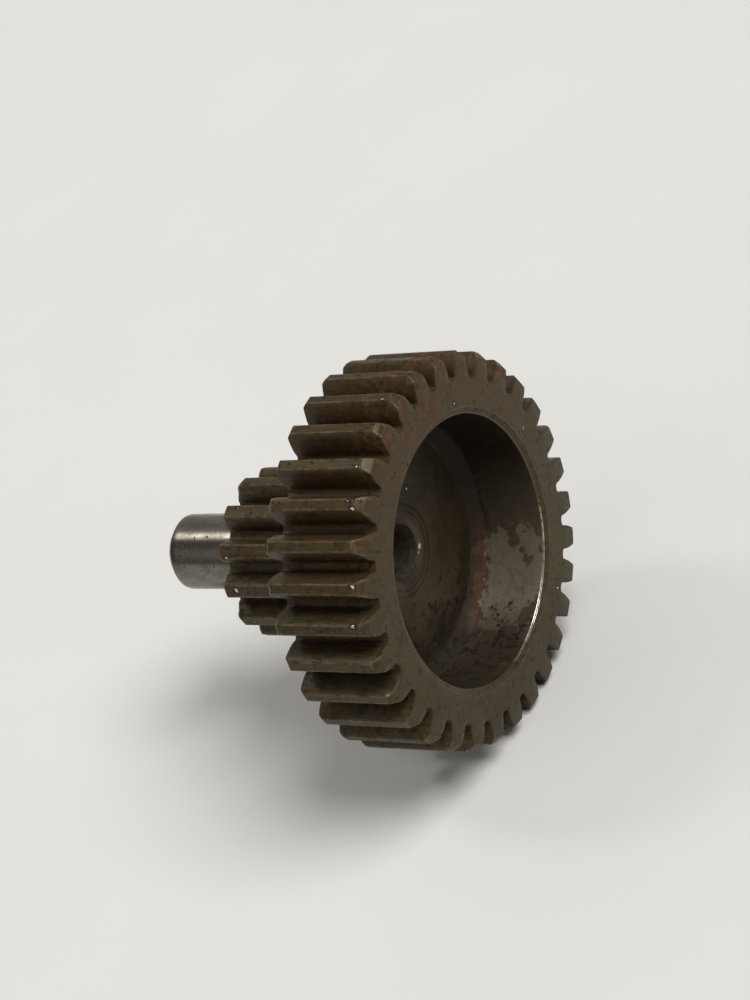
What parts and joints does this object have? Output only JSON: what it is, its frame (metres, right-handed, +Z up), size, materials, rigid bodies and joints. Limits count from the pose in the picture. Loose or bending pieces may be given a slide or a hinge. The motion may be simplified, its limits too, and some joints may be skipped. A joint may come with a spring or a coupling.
{
  "type": "cluster gear",
  "caption": "Cup-shaped spur wheel and small pinion on one ground journal shaft, with a round recess in the wheel's open face and a hole in the recess floor.",
  "frame": {"origin": "centre of the recess mouth, in the plane of the wheel's open face", "axes": "+Y along the gear axis from the open face to the journal's end; +Z up, through the middle of one wheel tooth; +X completes the frame"},
  "size_m": [0.0494, 0.0455, 0.0494],
  "materials": {
    "wheel_steel": "dark oxidised steel with rust spots",
    "pinion_steel": "dark oxidised steel",
    "ground_steel": "ground steel"
  },
  "bodies": {
    "root": {"cup_wheel": "wheel_steel", "pinion": "pinion_steel", "journal_shaft": "ground_steel"}
  },
  "joints": []
}
